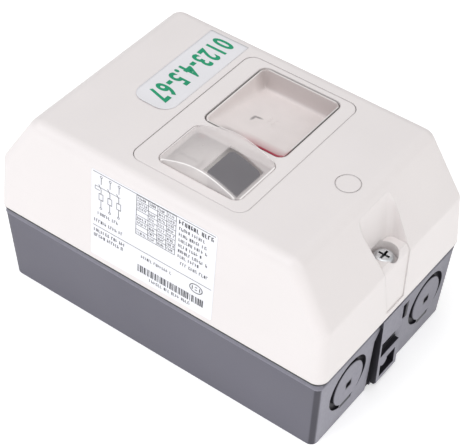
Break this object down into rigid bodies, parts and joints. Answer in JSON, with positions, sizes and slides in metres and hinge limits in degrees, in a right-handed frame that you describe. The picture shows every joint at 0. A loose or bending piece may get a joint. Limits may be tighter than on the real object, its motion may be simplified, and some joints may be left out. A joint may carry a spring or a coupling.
{
  "type": "motor protection breaker",
  "caption": "Surface enclosure with sloped ends holding a push-button motor protection breaker: START and STOP under flexible boots, screwed cover, cable entry break-outs.",
  "frame": {"origin": "centre of the flat back face that lies on the wall", "axes": "+X along the enclosure's length, +Y across it away from the rating label, +Z out of the wall towards the buttons"},
  "size_m": [0.147, 0.093, 0.089],
  "materials": {
    "cover_plastic": "fine satin texture",
    "base_plastic": "fine satin texture",
    "seal_rubber": "matte",
    "clear_boot": "clear flexible plastic",
    "frosted_boot": "frosted flexible plastic",
    "start_plastic": "satin",
    "stop_plastic": "satin",
    "zinc_steel": "zinc plated",
    "label_foil": "printed foil",
    "sticker_paper": "printed paper",
    "breaker_plastic": "moulded",
    "mechanism_plastic": "moulded",
    "copper": "bare copper",
    "terminal_brass": "bare brass",
    "spring_steel": "drawn wire",
    "iron": "zinc plated",
    "bimetal": "rolled",
    "dial_plastic": "moulded"
  },
  "bodies": {
    "base": {"base_box": "base_plastic", "cover_gasket": "seal_rubber", "cover_nuts": "zinc_steel", "earth_terminal": "terminal_brass", "earth_terminal_screws": "zinc_steel", "breaker_rear_housing": "breaker_plastic", "breaker_front_housing": "breaker_plastic", "housing_screws": "zinc_steel", "rail_latch_spring": "spring_steel", "start_spring": "spring_steel", "stop_spring": "spring_steel", "mechanism_frame": "zinc_steel", "opening_springs": "spring_steel", "line_contacts": "copper", "coil_contacts": "copper", "bimetal_strips": "bimetal", "load_straps": "copper", "magnet_yokes": "iron", "test_spring": "spring_steel", "line_clamps": "zinc_steel", "line_screws": "zinc_steel", "load_clamps": "zinc_steel", "load_screws": "zinc_steel", "arc_chute_1": "iron", "trip_coil_1": "copper", "plunger_spring_1": "spring_steel", "arc_chute_2": "iron", "trip_coil_2": "copper", "plunger_spring_2": "spring_steel", "arc_chute_3": "iron", "trip_coil_3": "copper", "plunger_spring_3": "spring_steel"},
    "cover": {"cover_shell": "cover_plastic", "window_bezel": "cover_plastic", "start_boot": "clear_boot", "stop_boot": "frosted_boot", "rating_label": "label_foil", "size_sticker": "sticker_paper"},
    "cover_screw_left": {"cover_screw_left": "zinc_steel"},
    "cover_screw_right": {"cover_screw_right": "zinc_steel"},
    "start_button": {"start_button": "start_plastic"},
    "stop_button": {"stop_button": "stop_plastic"},
    "toggle_lever": {"toggle_lever": "mechanism_plastic"},
    "contact_carrier": {"contact_carrier": "mechanism_plastic", "contact_bridges": "copper", "contact_springs": "spring_steel"},
    "trip_bar": {"trip_bar": "mechanism_plastic"},
    "setting_dial": {"setting_dial": "dial_plastic"},
    "test_button": {"test_button": "stop_plastic"},
    "rail_latch": {"rail_latch": "mechanism_plastic"},
    "trip_plunger_1": {"trip_plunger_1": "iron"},
    "trip_plunger_2": {"trip_plunger_2": "iron"},
    "trip_plunger_3": {"trip_plunger_3": "iron"}
  },
  "joints": [
    {"name": "cover_lift", "type": "slide", "parent": "base", "child": "cover", "axis": [0, 0, 1], "range_m": [0, 0.06]},
    {"name": "cover_screw_left_turn", "type": "hinge", "parent": "cover", "child": "cover_screw_left", "pos_m": [-0.0662, 0, 0.0575], "axis": [0, 0, 1], "continuous": true},
    {"name": "cover_screw_right_turn", "type": "hinge", "parent": "cover", "child": "cover_screw_right", "pos_m": [0.0662, 0, 0.0575], "axis": [0, 0, 1], "continuous": true},
    {"name": "start_press", "type": "slide", "parent": "base", "child": "start_button", "axis": [0, 0, -1], "range_m": [0, 0.004], "deforming": ["start_boot", "start_spring"]},
    {"name": "stop_pop", "type": "slide", "parent": "base", "child": "stop_button", "axis": [0, 0, 1], "range_m": [0, 0.0025], "deforming": ["stop_boot", "stop_spring"]},
    {"name": "toggle_rock", "type": "hinge", "parent": "base", "child": "toggle_lever", "pos_m": [0, -0.0087, 0.054], "axis": [1, 0, 0], "range_deg": [0, 17.8]},
    {"name": "carrier_drop", "type": "slide", "parent": "base", "child": "contact_carrier", "axis": [0, 0, -1], "range_m": [0, 0.003], "deforming": ["opening_springs"]},
    {"name": "trip_bar_tilt", "type": "hinge", "parent": "base", "child": "trip_bar", "pos_m": [0.016, 0, 0.039], "axis": [0, 1, 0], "range_deg": [0, 8], "stiffness_Nm_per_rad": 0.02},
    {"name": "trip_plunger_1_throw", "type": "slide", "parent": "base", "child": "trip_plunger_1", "axis": [0, 0, 1], "range_m": [0, 0.0015], "stiffness_N_per_m": 400, "deforming": ["plunger_spring_1"]},
    {"name": "trip_plunger_2_throw", "type": "slide", "parent": "base", "child": "trip_plunger_2", "axis": [0, 0, 1], "range_m": [0, 0.0015], "stiffness_N_per_m": 400, "deforming": ["plunger_spring_2"]},
    {"name": "trip_plunger_3_throw", "type": "slide", "parent": "base", "child": "trip_plunger_3", "axis": [0, 0, 1], "range_m": [0, 0.0015], "stiffness_N_per_m": 400, "deforming": ["plunger_spring_3"]},
    {"name": "dial_turn", "type": "hinge", "parent": "base", "child": "setting_dial", "pos_m": [-0.0065, -0.017, 0.075], "axis": [0, 0, 1], "range_deg": [-135, 135]},
    {"name": "test_press", "type": "slide", "parent": "base", "child": "test_button", "axis": [0, 0, -1], "range_m": [0, 0.0012], "stiffness_N_per_m": 600, "deforming": ["test_spring"]},
    {"name": "rail_latch_slide", "type": "slide", "parent": "base", "child": "rail_latch", "axis": [1, 0, 0], "range_m": [0, 0.003], "stiffness_N_per_m": 1500, "deforming": ["rail_latch_spring"]}
  ],
  "couplings": [
    {"joint": "stop_pop", "follows": "start_press", "ratio": 0.625},
    {"joint": "toggle_rock", "follows": "start_press", "rad_per_m": 77.6},
    {"joint": "carrier_drop", "follows": "start_press", "ratio": 0.75}
  ]
}
